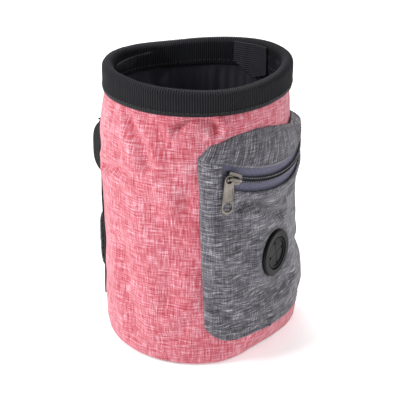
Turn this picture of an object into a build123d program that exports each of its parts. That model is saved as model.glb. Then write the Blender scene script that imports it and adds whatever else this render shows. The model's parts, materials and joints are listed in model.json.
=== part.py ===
"""Treat pouch: a round fabric tub with a stiffened mouth, a zipped front pocket with a rubber bag
outlet, and a belt sleeve and belt clip on the back.

Millimetres. +Z is up, the front pocket faces -Y, and the origin is the middle of the base.
"""

import os
from math import asin, atan, cos, degrees, hypot, radians, sin, sqrt, tan

from build123d import *

# ---- driving dimensions -------------------------------------------------------------------------
HEIGHT = 176.0  # floor to the top of the mouth
RIM_R = 58.8  # outside radius of the tub's back and sides at the mouth
RIM_FRONT = 53.0  # how far the flattened front lies from the axis there
BASE_R = 61.6  # and both at the floor, because the tub widens downwards
BASE_FRONT = 49.5  # the front hollows under the pocket
SHELL = 1.6  # outer fabric with its interlining
LINING = 0.8
LAYER_GAP = 0.1  # air between stacked layers

BAND = 1.2  # grosgrain thickness
BAND_OUT_H = 16.0  # visible height outside
BAND_IN_H = 17.0  # and inside
HOOP = 1.3

PIPING_H = 1.4
BASE_PANEL_H = 1.4
BOARD_H = 1.6

POCKET_R = 80.0  # radius of the pocket front
POCKET_Y = 22.5  # its centre lies this far behind the tub's axis
POCKET_HALF_W = 50.5
POCKET_CORNER_R = 8.0  # between its front and its short sides, seen from above
POCKET_TOP_R = 11.0  # and its corners seen from the front
POCKET_BOTTOM_R = 6.0
POCKET_WALL = 1.0
POCKET_BOTTOM = 20.0
POCKET_TOP = 148.0
LEAN_START = 136.0  # above this the pocket leans back
LEAN_GROW = 9.0  # from this far outside the tub
LEAN_ANGLE = 33.0

ZIP_Z = 116.4  # the zip's lowest point, in the middle of the front
ZIP_RISE = 0.68  # the zip lies in a plane that climbs this much for each millimetre back
ZIP_WINDOW_H = 14.6
ZIP_WINDOW_HALF_W = 46.0
TAPE = 0.6
TAPE_HALF_W = 47.4
TAPE_REACH = 8.0  # from the middle of the zip to the tape's outer edge
CHAIN_GAP = 0.9  # between the two coils
COIL_HALF_W = 44.2
COIL_W = 1.7
COIL_H = 1.15
COIL_LIFT = 0.3  # between the tape and the coil

SLIDER_ANGLE = 30.2  # degrees left of the pocket's middle, about the pocket's own axis
SLIDER_L = 8.6
SLIDER_PLATE = 0.9
SLIDER_BACK_PLATE = 0.7
PULL_L = 23.4
PULL_W = 8.0
PULL_T = 1.1
PULL_RECESS = 0.3
PULL_LEAN = 3.0  # degrees that the pull's free end stands off the pocket

OUTLET_X = -8.5
OUTLET_Z = 66.8
OUTLET_R = 14.7
OUTLET_H = 2.2
FLANGE = 0.6  # thickness left under the groove between the raised ring and its inner lip
COLLAR = 2.6  # thickness of the pocket's flat ring of cloth behind the outlet
MEMBRANE_R = 9.7
MEMBRANE = 1.1
FLAP = 0.7  # the four flaps are thinner than the rest of the membrane
SLIT_HALF_L = 8.0
SLIT_GAP = 0.4
SLIT_RELIEF = 1.3  # how far each flap is cut back at the ends of the slits
SLIT_TURN = 12.0  # degrees that the cross is turned from upright

PATCH = 1.0
PATCH_HALF_ANGLE = 35.0
PATCH_BOTTOM = 19.0
PATCH_TOP = 138.0

SLEEVE_HALF_W = 18.0
SLEEVE_BOTTOM = 21.0
SLEEVE_TOP = 74.0
SLEEVE_HEM = 5.5
SLEEVE_OUT_Y = 70.5
SLEEVE_WALL = 1.4

CLIP_W = 32.0
CLIP_PLATE = 1.5
CLIP_BOTTOM = 96.0
CLIP_OUT_Y = 74.2
CLIP_IN_Y = 69.2
CLIP_AXIS_Y = 66.4
CLIP_AXIS_Z = 128.0
BARREL_R = 2.4
HOOK = 1.3
RIVET_Z = (104.0, 118.0)
RIVET_R = 1.5
RIVET_HEAD_R = 2.6
RIVET_IN_Y = RIM_R - 1.0  # under the inner heads, between the outer fabric and the lining

# ---- sizes that follow from those -----------------------------------------------------------------
LINING_OUT = SHELL + HOOP + 2 * LAYER_GAP  # how far inside the body outline the lining starts
BAND_INNER = LINING_OUT + LINING + LAYER_GAP
SHELL_BOTTOM = PIPING_H + LAYER_GAP
BOARD_Z = BASE_PANEL_H + LAYER_GAP
LINING_Z = BOARD_Z + BOARD_H + LAYER_GAP
LAYERS_TOP = HEIGHT - BAND - LAYER_GAP
TAPE_R = POCKET_R - POCKET_WALL - LAYER_GAP
ZIP_R = TAPE_R - TAPE / 2  # the middle of the tape, which the slider runs on
ZIP_FRONT = POCKET_Y - ZIP_R
ZIP_TILT = degrees(atan(ZIP_RISE))
PATCH_GROW = LAYER_GAP + PATCH  # the patch's outside, beyond the tub's
PLATE_Y = RIM_R + 1.4 + PATCH_GROW  # the clip's plate stands clear of the widest of the patch behind it
OUTLET_Y = POCKET_Y - POCKET_R + 0.4  # the flat seat under the outlet's flange

# ---- the slider's heights above the middle of the tape --------------------------------------------
PLATE_GAP = 2.1  # to the front plate
BACK_GAP = 0.9  # to the back plate
FLANGE_LOW = 0.9
DIAMOND_W = 0.4
PULL_AT = PLATE_GAP + SLIDER_PLATE + 0.3
BRIDGE_AT = PULL_AT + PULL_T + 0.35
POST_X = -3.4
POST_R = 0.9

FAR = 200.0  # longer than anything here, for through cuts


# ---- outlines -------------------------------------------------------------------------------------
def body_face(grow, z):
    """The tub's plan at height z, grown outwards by grow: round at the back, flatter at the front."""
    down = 1 - z / HEIGHT
    radius = RIM_R + (BASE_R - RIM_R) * down + grow
    front = RIM_FRONT + (BASE_FRONT - RIM_FRONT) * down + grow
    with BuildSketch() as face:
        with BuildLine():
            CenterArc((0, 0), radius, 0, 180)
            EllipticalCenterArc((0, 0), radius, front, start_angle=180, arc_size=180)
        make_face()
    return face.sketch


def body_block(grow, low, high, grow_high=None):
    """The tub as a solid from low to high, grown outwards by grow, or by grow_high at its top end."""
    ends = ((low, grow), (high, grow if grow_high is None else grow_high))
    with BuildPart() as block:
        for z, outwards in ends:
            with BuildSketch(Plane.XY.offset(z)):
                add(body_face(outwards, z))
        loft(ruled=True)
    return block.part


def pocket_face(shrink):
    """The pocket's plan, shrunk inwards by shrink, running back into the tub."""
    half = POCKET_HALF_W - shrink
    back = -20.0
    with BuildSketch() as face:
        with Locations((0, POCKET_Y)):
            Circle(POCKET_R - shrink)
        with Locations((0, back)):
            Rectangle(2 * half, FAR, align=(Align.CENTER, Align.MAX), mode=Mode.INTERSECT)
        front_corners = face.vertices().group_by(Axis.Y)[0]
        fillet(front_corners, POCKET_CORNER_R - shrink)
    return face.sketch


def sector_face(r_in, r_out, half_angle, facing, centre_y=0.0):
    """Part of a ring, half_angle each side of the direction facing, both in degrees."""
    centre = Vector(0, centre_y)

    def at(r, turn):
        a = radians(facing + turn)
        return centre + Vector(r * cos(a), r * sin(a))

    with BuildSketch() as face:
        with BuildLine():
            ThreePointArc(at(r_out, -half_angle), at(r_out, 0), at(r_out, half_angle))
            Line(at(r_out, half_angle), at(r_in, half_angle))
            ThreePointArc(at(r_in, half_angle), at(r_in, 0), at(r_in, -half_angle))
            Line(at(r_in, -half_angle), at(r_out, -half_angle))
        make_face()
    return face.sketch


def back_plane(x, y, z):
    """A plane at the back, facing out along +Y, with its own y axis up."""
    return Plane(origin=(x, y, z), x_dir=(-1, 0, 0), z_dir=(0, 1, 0))


def save(part, name):
    part.label = name
    export_step(part, f"parts/{name}.step")


def wall(outer, inner, low, high):
    """A wall between two offsets of the tub's outline."""
    with BuildPart() as made:
        add(body_block(outer, low, high))
        add(body_block(inner, low, high), mode=Mode.SUBTRACT)
    return made.part


# ---- the tub --------------------------------------------------------------------------------------
def rivet_holes(depth):
    """Cuts the rivets' two holes right through the wall at the back."""
    for z in RIVET_Z:
        with Locations(back_plane(0, RIM_R, z)):
            Cylinder(RIVET_R + 0.05, depth, mode=Mode.SUBTRACT)


def make_outer_shell():
    with BuildPart() as outer_shell:
        add(wall(0, -SHELL, SHELL_BOTTOM, LAYERS_TOP))
        rivet_holes(6 * SHELL)
    save(outer_shell.part, "outer_shell")


def make_inner_lining():
    with BuildPart() as inner_lining:
        add(wall(-LINING_OUT, -LINING_OUT - LINING, LINING_Z, LAYERS_TOP))
        add(body_block(-LINING_OUT, LINING_Z, LINING_Z + LINING))
    save(inner_lining.part, "inner_lining")


def make_base():
    with BuildPart() as base_piping:
        add(wall(-0.4, -2.4, 0, PIPING_H))
        fillet(base_piping.faces().sort_by(Axis.Z)[0].outer_wire().edges(), 0.6)
    save(base_piping.part, "base_piping")
    save(body_block(-2.6, 0, BASE_PANEL_H), "base_panel")
    save(body_block(-2.6, BOARD_Z, BOARD_Z + BOARD_H), "base_board")


def make_rim():
    with BuildPart() as rim_band:
        add(wall(LAYER_GAP + BAND, -BAND_INNER - BAND, HEIGHT - BAND_IN_H, HEIGHT))
        fillet(rim_band.faces().sort_by(Axis.Z)[-1].edges(), 2.2)
        add(wall(LAYER_GAP, -BAND_INNER, HEIGHT - FAR, HEIGHT - BAND), mode=Mode.SUBTRACT)
        add(wall(2 * BAND, 0, HEIGHT - 2 * BAND_IN_H, HEIGHT - BAND_OUT_H), mode=Mode.SUBTRACT)
    save(rim_band.part, "rim_band")

    save(wall(-SHELL - LAYER_GAP, -SHELL - LAYER_GAP - HOOP, HEIGHT - 14.5, HEIGHT - 3), "rim_hoop")

    band_inside = -BAND_INNER - BAND - LAYER_GAP
    top = HEIGHT - 1.6
    with BuildPart() as rim_band_tail:
        add(wall(band_inside, band_inside - BAND, HEIGHT - 24, HEIGHT))
        with BuildSketch(Plane.YZ):
            with BuildLine():
                Polyline((4, top), (-17, top), (-17, top - 16), (-10, top - 19.5), (4, top - 12), close=True)
            make_face()
        extrude(amount=FAR, mode=Mode.INTERSECT)
    save(rim_band_tail.part, "rim_band_tail")


# ---- the front pocket -----------------------------------------------------------------------------
def outlet_plane(height=0.0):
    """A plane on the outlet's axis, facing out along -Y, with its own y axis up."""
    return Plane(origin=(OUTLET_X, OUTLET_Y - height, OUTLET_Z), x_dir=(1, 0, 0), z_dir=(0, -1, 0))


def zip_plane(height=0.0):
    """The tilted plane that the zip lies in, moved up by height."""
    tilt = radians(ZIP_TILT)
    return Plane(origin=(0, ZIP_FRONT, ZIP_Z + height), x_dir=(1, 0, 0), z_dir=(0, -sin(tilt), cos(tilt)))


def pocket_block(shrink):
    """The pocket as a solid lump, before it is hollowed: upright to LEAN_START, then leaning back."""
    low, high = POCKET_BOTTOM + shrink, POCKET_TOP - shrink
    start = LEAN_GROW - shrink
    end = start - (high - LEAN_START) * tan(radians(LEAN_ANGLE))
    with BuildPart() as leaning:
        add(body_block(start, low, LEAN_START))
        add(body_block(start, LEAN_START, high, end))
    with BuildPart() as block:
        with BuildSketch(Plane.XY.offset(low)):
            add(pocket_face(shrink))
        extrude(amount=high - low)
        add(leaning.part, mode=Mode.INTERSECT)
        with BuildSketch(Plane.XZ) as front:
            with Locations((0, low)):
                Rectangle(2 * (POCKET_HALF_W - shrink), high - low, align=(Align.CENTER, Align.MIN))
            fillet(front.vertices().group_by(Axis.Y)[-1], POCKET_TOP_R - shrink)
            fillet(front.vertices().group_by(Axis.Y)[0], POCKET_BOTTOM_R - shrink)
        extrude(amount=FAR, mode=Mode.INTERSECT)
    return block.part


def pocket_wall():
    """The pocket's whole wall, both panels in one, with no openings."""
    with BuildPart() as made:
        add(pocket_block(0))
        add(pocket_block(POCKET_WALL), mode=Mode.SUBTRACT)
        add(body_block(LAYER_GAP, 0, HEIGHT), mode=Mode.SUBTRACT)
    return made.part


def make_pocket_panels():
    with BuildPart() as pocket_panel:
        add(pocket_wall())
        with BuildSketch(outlet_plane(-COLLAR)):
            Circle(OUTLET_R + 1.3)
        extrude(amount=COLLAR)
        with BuildSketch(outlet_plane(0)):
            Circle(OUTLET_R + 1.3)
        extrude(amount=FAR, mode=Mode.SUBTRACT)
        split(bisect_by=zip_plane(ZIP_WINDOW_H / 2), keep=Keep.BOTTOM)
        with BuildSketch(outlet_plane(-8)):
            Circle(MEMBRANE_R + 0.1)
        extrude(amount=FAR, mode=Mode.SUBTRACT)
        with BuildSketch(zip_plane(-ZIP_WINDOW_H / 2)):
            Rectangle(2 * ZIP_WINDOW_HALF_W, FAR)
        extrude(amount=FAR, mode=Mode.SUBTRACT)
    save(pocket_panel.part, "pocket_panel")

    with BuildPart() as pocket_top_panel:
        add(pocket_wall())
        split(bisect_by=zip_plane(ZIP_WINDOW_H / 2 + LAYER_GAP), keep=Keep.TOP)
    save(pocket_top_panel.part, "pocket_top_panel")


def zip_tape(low, high):
    """One side of the tape, which follows the pocket's front between two tilted planes."""
    half_angle = degrees(asin(TAPE_HALF_W / TAPE_R))
    with BuildPart() as made:
        with BuildSketch():
            add(sector_face(TAPE_R - TAPE, TAPE_R, half_angle, -90, POCKET_Y))
        extrude(amount=FAR)
        split(bisect_by=zip_plane(low), keep=Keep.TOP)
        split(bisect_by=zip_plane(high), keep=Keep.BOTTOM)
    return made.part


def zip_coil(offset_up):
    """One row of the chain, swept about the slider's axis from one end of its travel to the other."""
    start = slider_plane()
    across = Plane(origin=start.origin, x_dir=start.z_dir, z_dir=-start.x_dir)
    spare = degrees((COIL_HALF_W - ZIP_R * sin(radians(SLIDER_ANGLE))) / ZIP_R)
    with BuildPart() as made:
        with BuildSketch(across):
            with Locations((TAPE / 2 + COIL_LIFT + COIL_H / 2, offset_up)):
                Rectangle(COIL_H, COIL_W)
        revolve(axis=slider_axis(), revolution_arc=slider_travel() + 2 * spare)
    return made.part.rotate(slider_axis(), -spare)


def make_zipper():
    near = CHAIN_GAP / 2
    save(zip_tape(near, TAPE_REACH), "zipper_tape_upper")
    save(zip_tape(-TAPE_REACH, -near), "zipper_tape_lower")
    save(zip_coil(near + COIL_W / 2), "zipper_coil_upper")
    save(zip_coil(-near - COIL_W / 2), "zipper_coil_lower")


def slider_plane(height=0.0):
    """At the slider, facing out of the pocket: its x axis runs along the zip towards +X."""
    a = radians(SLIDER_ANGLE)
    r = ZIP_R + height
    climb = ZIP_RISE * ZIP_R * (1 - cos(a))
    return Plane(
        origin=(-r * sin(a), POCKET_Y - r * cos(a), ZIP_Z + climb),
        x_dir=(cos(a), -sin(a), -ZIP_RISE * sin(a)),
        z_dir=(-sin(a), -cos(a), 0),
    )


def slider_axis():
    """What the slider turns about, so that it stays on the tilted curve from end to end."""
    x, y = slider_plane().origin.X, slider_plane().origin.Y - ZIP_FRONT
    up_slope = y * hypot(1, ZIP_RISE)
    radius = (x**2 + up_slope**2) / (2 * up_slope)
    tilt = radians(ZIP_TILT)
    centre = (0, ZIP_FRONT + radius * cos(tilt), ZIP_Z + radius * sin(tilt))
    return Axis(centre, (0, -sin(tilt), cos(tilt)))


def slider_travel():
    """The slider's whole travel in degrees, from the left end to the same place on the right."""
    radius = (Vector(0, ZIP_FRONT, ZIP_Z) - slider_axis().position).length
    return 2 * degrees(asin(-slider_plane().origin.X / radius))


def slider_plate_face():
    front, rear = 3.7, 2.9  # half widths
    half = SLIDER_L / 2
    with BuildSketch() as face:
        with BuildLine():
            upper = ((-half, front), (-1, front), (half, rear))
            lower = ((half, -rear), (-1, -front), (-half, -front))
            Polyline(*upper, *lower, close=True)
        make_face()
        fillet(face.vertices(), 0.7)
    return face.sketch


def make_slider():
    with BuildPart() as zipper_slider:
        for low, thick in ((PLATE_GAP, SLIDER_PLATE), (-BACK_GAP - SLIDER_BACK_PLATE, SLIDER_BACK_PLATE)):
            with BuildSketch(slider_plane(low)):
                add(slider_plate_face())
            extrude(amount=thick)
        with BuildSketch(slider_plane(FLANGE_LOW)):  # down the sides, outside the coils
            for side in (1, -1):
                with Locations((-1.6, side * 3.2)):
                    Rectangle(4.6, 0.8)
        extrude(amount=PLATE_GAP - FLANGE_LOW)
        with BuildSketch(slider_plane(-BACK_GAP)):  # the diamond that parts the coils
            with Locations((-2.6, 0)):
                Rectangle(2.6, DIAMOND_W)
        extrude(amount=BACK_GAP + PLATE_GAP)
        with BuildSketch(slider_plane(PLATE_GAP)):  # the bridge's front post, and its rear one
            with Locations((POST_X, 0)):
                Circle(POST_R)
            with Locations((3.2, 0)):
                Rectangle(1.2, 1.8)
        extrude(amount=BRIDGE_AT - PLATE_GAP + 0.2)
        with BuildSketch(slider_plane(BRIDGE_AT)) as bridge:
            with Locations((-0.4, 0)):
                Rectangle(SLIDER_L - 0.2, 2.2)
            fillet(bridge.vertices(), 1.0)
        extrude(amount=1.0)
        out = Axis(slider_plane().origin, slider_plane().z_dir)
        chamfer(zipper_slider.faces().sort_by(out)[-1].edges(), 0.35)
    save(zipper_slider.part, "zipper_slider")


def make_pull():
    a = radians(SLIDER_ANGLE)
    post = slider_plane(PULL_AT).from_local_coords((POST_X, 0, 0))
    upright = Plane(origin=post, x_dir=(cos(a), -sin(a), 0), z_dir=slider_plane().z_dir)
    hanging = upright.rotated((-PULL_LEAN, 0, 0))
    eye_r, eye_hole = 2.9, 1.95
    eye = (-0.7, -0.7)  # the eye hangs on the post, a little to the left
    end = (-2.5, eye[1] + eye_r - PULL_L + PULL_W / 2)
    with BuildPart() as zipper_pull:
        with BuildSketch(hanging):
            with Locations(eye):
                Circle(eye_r)
            with Locations(end):
                Circle(PULL_W / 2)
            make_hull()
            with Locations(eye):
                Circle(eye_hole, mode=Mode.SUBTRACT)
            with Locations((end[0], end[1] + 0.3)):
                Circle(2.7, mode=Mode.SUBTRACT)
        extrude(amount=PULL_T)
        chamfer(zipper_pull.faces().sort_by(Axis(hanging.origin, hanging.z_dir))[-1].edges(), 0.25)
        with BuildSketch(hanging.offset(PULL_T - PULL_RECESS)):  # the sunk face between the two holes
            with Locations(((eye[0] + end[0]) / 2, (eye[1] + end[1]) / 2 - 0.6)):
                Trapezoid(PULL_W - 2.2, 8.0, 87.5)
        extrude(amount=FAR, mode=Mode.SUBTRACT)
    save(zipper_pull.part, "zipper_pull")


# ---- the bag outlet -------------------------------------------------------------------------------
def make_outlet():
    slit_side = SLIT_HALF_L * sqrt(2)  # the cross's four ends are the corners of a square
    with BuildPart() as outlet_ring:
        with BuildSketch(outlet_plane(LAYER_GAP)):
            Circle(OUTLET_R)
        extrude(amount=OUTLET_H)
        out = Axis((OUTLET_X, 0, OUTLET_Z), (0, -1, 0))
        fillet(outlet_ring.faces().sort_by(out)[-1].edges(), 1.1)
        with BuildSketch(outlet_plane(LAYER_GAP + FLANGE)):
            Circle(MEMBRANE_R + 0.5)
        extrude(amount=FAR, mode=Mode.SUBTRACT)
        with BuildSketch(outlet_plane(LAYER_GAP)):
            Circle(MEMBRANE_R - 0.6)
        extrude(amount=FAR, mode=Mode.SUBTRACT)
        fillet(outlet_ring.faces().sort_by(out)[-1].edges(), 0.8)
        with BuildSketch(outlet_plane(-2)):
            Circle(MEMBRANE_R)
            Circle(MEMBRANE_R - 1.2, mode=Mode.SUBTRACT)
        extrude(amount=2.5)
        with BuildSketch(outlet_plane(LAYER_GAP)):  # a thin lip inside the raised ring
            Circle(MEMBRANE_R - 0.3)
            Circle(MEMBRANE_R - 1.0, mode=Mode.SUBTRACT)
        extrude(amount=OUTLET_H - 0.5)
        with BuildSketch(outlet_plane(LAYER_GAP)):
            Circle(MEMBRANE_R)
            Rectangle(slit_side, slit_side, rotation=SLIT_TURN + 45, mode=Mode.SUBTRACT)
        extrude(amount=MEMBRANE)
    save(outlet_ring.part, "outlet_ring")

    near = SLIT_GAP / 2
    far = SLIT_HALF_L - near - 0.08 - SLIT_RELIEF  # just short of the ring, so that the flap can turn
    high = near + SLIT_RELIEF
    for k in range(4):
        with BuildPart() as petal:
            with BuildSketch(outlet_plane(LAYER_GAP + MEMBRANE - FLAP)):
                with Locations(Rotation(0, 0, SLIT_TURN + 90 * k)):
                    Polygon((near, near), (far, near), (far, high), (high, far), (near, far), align=None)
            extrude(amount=FLAP)
        save(petal.part, f"outlet_petal_{k + 1}")


# ---- the back -------------------------------------------------------------------------------------
def make_back_patch():
    reach = 2 * BASE_R
    edge = (reach * sin(radians(PATCH_HALF_ANGLE)), reach * cos(radians(PATCH_HALF_ANGLE)))
    with BuildPart() as back_patch:
        add(wall(PATCH_GROW, LAYER_GAP, PATCH_BOTTOM, PATCH_TOP))
        with BuildSketch():
            Polygon((0, 0), edge, (-edge[0], edge[1]), align=None)
        extrude(amount=FAR, mode=Mode.INTERSECT)
        rivet_holes(6 * SHELL)
    save(back_patch.part, "back_patch")


def make_belt_sleeve():
    with BuildPart() as belt_sleeve:
        with BuildSketch(Plane.XY.offset(SLEEVE_BOTTOM)):
            Rectangle(2 * SLEEVE_HALF_W, SLEEVE_OUT_Y, align=(Align.CENTER, Align.MIN))
        extrude(amount=SLEEVE_TOP - SLEEVE_BOTTOM)
        with BuildSketch(Plane.XY.offset(SLEEVE_BOTTOM + SLEEVE_HEM)):
            Rectangle(FAR, SLEEVE_OUT_Y - SLEEVE_WALL, align=(Align.CENTER, Align.MIN))
        extrude(amount=SLEEVE_TOP - SLEEVE_BOTTOM - 2 * SLEEVE_HEM, mode=Mode.SUBTRACT)
        add(body_block(PATCH_GROW + LAYER_GAP, 0, HEIGHT), mode=Mode.SUBTRACT)
        outer_edges = belt_sleeve.faces().sort_by(Axis.Y)[-1].edges().filter_by(Axis.X)
        chamfer(outer_edges, length=3.2, length2=4.6)
    save(belt_sleeve.part, "belt_sleeve")


def make_belt_clip():
    axis_plane = Plane(origin=(-CLIP_W / 2, 0, 0), x_dir=(0, 1, 0), z_dir=(1, 0, 0))  # x is Y, y is Z
    with BuildPart() as belt_clip_base:
        with BuildSketch(axis_plane):
            with Locations((PLATE_Y, CLIP_BOTTOM)):
                Rectangle(CLIP_PLATE, CLIP_AXIS_Z - CLIP_BOTTOM, align=Align.MIN)
            with Locations((CLIP_AXIS_Y, CLIP_AXIS_Z)):
                Circle(BARREL_R + 0.15 + HOOK)
                Rectangle(FAR, FAR, align=(Align.CENTER, Align.MAX), mode=Mode.SUBTRACT)
            with Locations((PLATE_Y, CLIP_BOTTOM)):
                Rectangle(CLIP_PLATE, CLIP_AXIS_Z - CLIP_BOTTOM + 1, align=Align.MIN)
            with Locations((CLIP_AXIS_Y, CLIP_AXIS_Z)):
                Circle(BARREL_R + 0.15, mode=Mode.SUBTRACT)
                Rectangle(FAR, 2.2, align=Align.MIN, mode=Mode.SUBTRACT)
        extrude(amount=CLIP_W)
        for z in RIVET_Z:
            with Locations(back_plane(0, PLATE_Y + CLIP_PLATE, z)):
                CounterSinkHole(RIVET_R + 0.05, 2.8, depth=2 * CLIP_PLATE)
    save(belt_clip_base.part, "belt_clip_base")

    with BuildPart() as belt_clip_tongue:
        with BuildSketch(axis_plane) as side:
            with BuildLine():
                Polyline(
                    (CLIP_AXIS_Y - 0.2, CLIP_AXIS_Z - 1.2),
                    (CLIP_IN_Y - 0.3, CLIP_AXIS_Z - 5),
                    (CLIP_IN_Y, CLIP_BOTTOM + 7),
                    (CLIP_IN_Y - 3.2, CLIP_BOTTOM + 2.4),
                    (CLIP_IN_Y - 2.6, CLIP_BOTTOM),
                    (CLIP_IN_Y + 0.6, CLIP_BOTTOM),
                )
                Spline(
                    (CLIP_IN_Y + 0.6, CLIP_BOTTOM),
                    (CLIP_OUT_Y - 0.6, CLIP_BOTTOM + 6.5),
                    (CLIP_OUT_Y, CLIP_BOTTOM + 16),
                    (CLIP_OUT_Y - 1.6, CLIP_AXIS_Z - 4.5),
                    (CLIP_AXIS_Y + 1.9, CLIP_AXIS_Z + 0.8),
                )
                Line((CLIP_AXIS_Y + 1.9, CLIP_AXIS_Z + 0.8), (CLIP_AXIS_Y - 0.2, CLIP_AXIS_Z - 1.2))
            make_face()
            with Locations((CLIP_AXIS_Y, CLIP_AXIS_Z)):
                Circle(BARREL_R)
        extrude(amount=CLIP_W)
    save(belt_clip_tongue.part, "belt_clip_tongue")

    plate_out = PLATE_Y + CLIP_PLATE
    with BuildPart() as clip_rivets:
        for z in RIVET_Z:
            with Locations(back_plane(0, RIVET_IN_Y, z)):
                Cylinder(RIVET_HEAD_R, 0.8, align=(Align.CENTER, Align.CENTER, Align.MAX))
                Cylinder(RIVET_R, plate_out - RIVET_IN_Y, align=(Align.CENTER, Align.CENTER, Align.MIN))
            with Locations(back_plane(0, plate_out - 1.15, z)):
                Cone(RIVET_R, RIVET_HEAD_R, 1.1, align=(Align.CENTER, Align.CENTER, Align.MIN))
    save(clip_rivets.part, "clip_rivets")


os.makedirs("parts", exist_ok=True)
make_outer_shell()
make_inner_lining()
make_base()
make_rim()
make_pocket_panels()
make_zipper()
make_slider()
make_pull()
make_outlet()
make_back_patch()
make_belt_sleeve()
make_belt_clip()
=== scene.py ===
"""A treat pouch: a coral melange tub with a grosgrain mouth, a grey zipped pocket with a rubber bag
outlet, and a belt sleeve and clip behind. Lengths in this file are millimetres until they become vertices.
"""
import json
import math

import bpy
import numpy as np
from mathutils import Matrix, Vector


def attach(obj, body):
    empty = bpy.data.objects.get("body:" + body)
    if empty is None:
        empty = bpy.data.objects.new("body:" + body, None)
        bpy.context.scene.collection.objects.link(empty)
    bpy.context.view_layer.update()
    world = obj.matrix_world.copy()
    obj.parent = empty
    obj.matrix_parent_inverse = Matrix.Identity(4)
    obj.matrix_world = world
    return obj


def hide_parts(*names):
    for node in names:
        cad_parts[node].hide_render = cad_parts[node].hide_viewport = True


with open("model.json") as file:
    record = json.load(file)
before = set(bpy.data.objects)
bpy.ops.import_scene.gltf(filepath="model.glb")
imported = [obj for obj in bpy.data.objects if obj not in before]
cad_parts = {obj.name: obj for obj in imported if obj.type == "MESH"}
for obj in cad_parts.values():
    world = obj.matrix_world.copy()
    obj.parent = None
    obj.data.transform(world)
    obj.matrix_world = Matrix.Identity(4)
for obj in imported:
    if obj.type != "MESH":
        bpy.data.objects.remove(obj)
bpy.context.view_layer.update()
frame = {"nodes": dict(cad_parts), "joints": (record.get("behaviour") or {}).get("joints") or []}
nodes = frame["nodes"]
MM = 0.001
HEIGHT = 176.0
ARC = 60.0  # mm of cloth for one radian round the tub
RIBS = 250  # ribs of the mouth's binding, all the way round

# ---- camera, light and floor -------------------------------------------------------------------
scene = bpy.context.scene
TARGET = Vector((0, 0, 0.085))
AZIMUTH, ELEVATION, DISTANCE = math.radians(-57), math.radians(23.4), 0.65


def direction(azimuth, elevation):
    """From the object towards a viewer at that azimuth and elevation, in radians."""
    flat = math.cos(elevation)
    return Vector((math.sin(azimuth) * flat, -math.cos(azimuth) * flat, math.sin(elevation)))


def aim(obj, place, at):
    obj.location = place
    obj.rotation_euler = (Vector(at) - Vector(place)).to_track_quat("-Z", "Y").to_euler()


cam_data = bpy.data.cameras.new("camera")
cam_data.sensor_width = 36
cam_data.lens = 92.43
cam_data.shift_x, cam_data.shift_y = -0.007, -0.0015
cam_data.clip_start = 0.01
camera = bpy.data.objects.new("camera", cam_data)
scene.collection.objects.link(camera)
aim(camera, TARGET + direction(AZIMUTH, ELEVATION) * DISTANCE, TARGET)
scene.camera = camera


def area_light(name, azimuth, elevation, distance, size, power):
    """A round soft light: angles in degrees, metres and watts."""
    data = bpy.data.lights.new(name, "AREA")
    data.shape = "DISK"
    data.size = size
    data.energy = power
    obj = bpy.data.objects.new(name, data)
    scene.collection.objects.link(obj)
    aim(obj, TARGET + direction(math.radians(azimuth), math.radians(elevation)) * distance, TARGET)


area_light("key", -122, 36, 0.9, 0.3, 5.0)
area_light("fill", 6, 28, 1.0, 0.5, 1.3)
area_light("top", 150, 76, 0.8, 0.3, 3.6)
area_light("rear", 120, 30, 1.0, 0.6, 2.0)

world = bpy.data.worlds.new("world")
world.use_nodes = True
world.node_tree.nodes["Background"].inputs["Color"].default_value = (1, 1, 1, 1)
world.node_tree.nodes["Background"].inputs["Strength"].default_value = 0.42
scene.world = world
scene.view_settings.view_transform = "Standard"


# ---- materials ---------------------------------------------------------------------------------
def srgb(red, green, blue):
    """A linear colour from 0 to 255 screen values."""
    parts = [c / 255 for c in (red, green, blue)]
    return tuple(c / 12.92 if c <= 0.04045 else ((c + 0.055) / 1.055) ** 2.4 for c in parts) + (1,)


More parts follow.
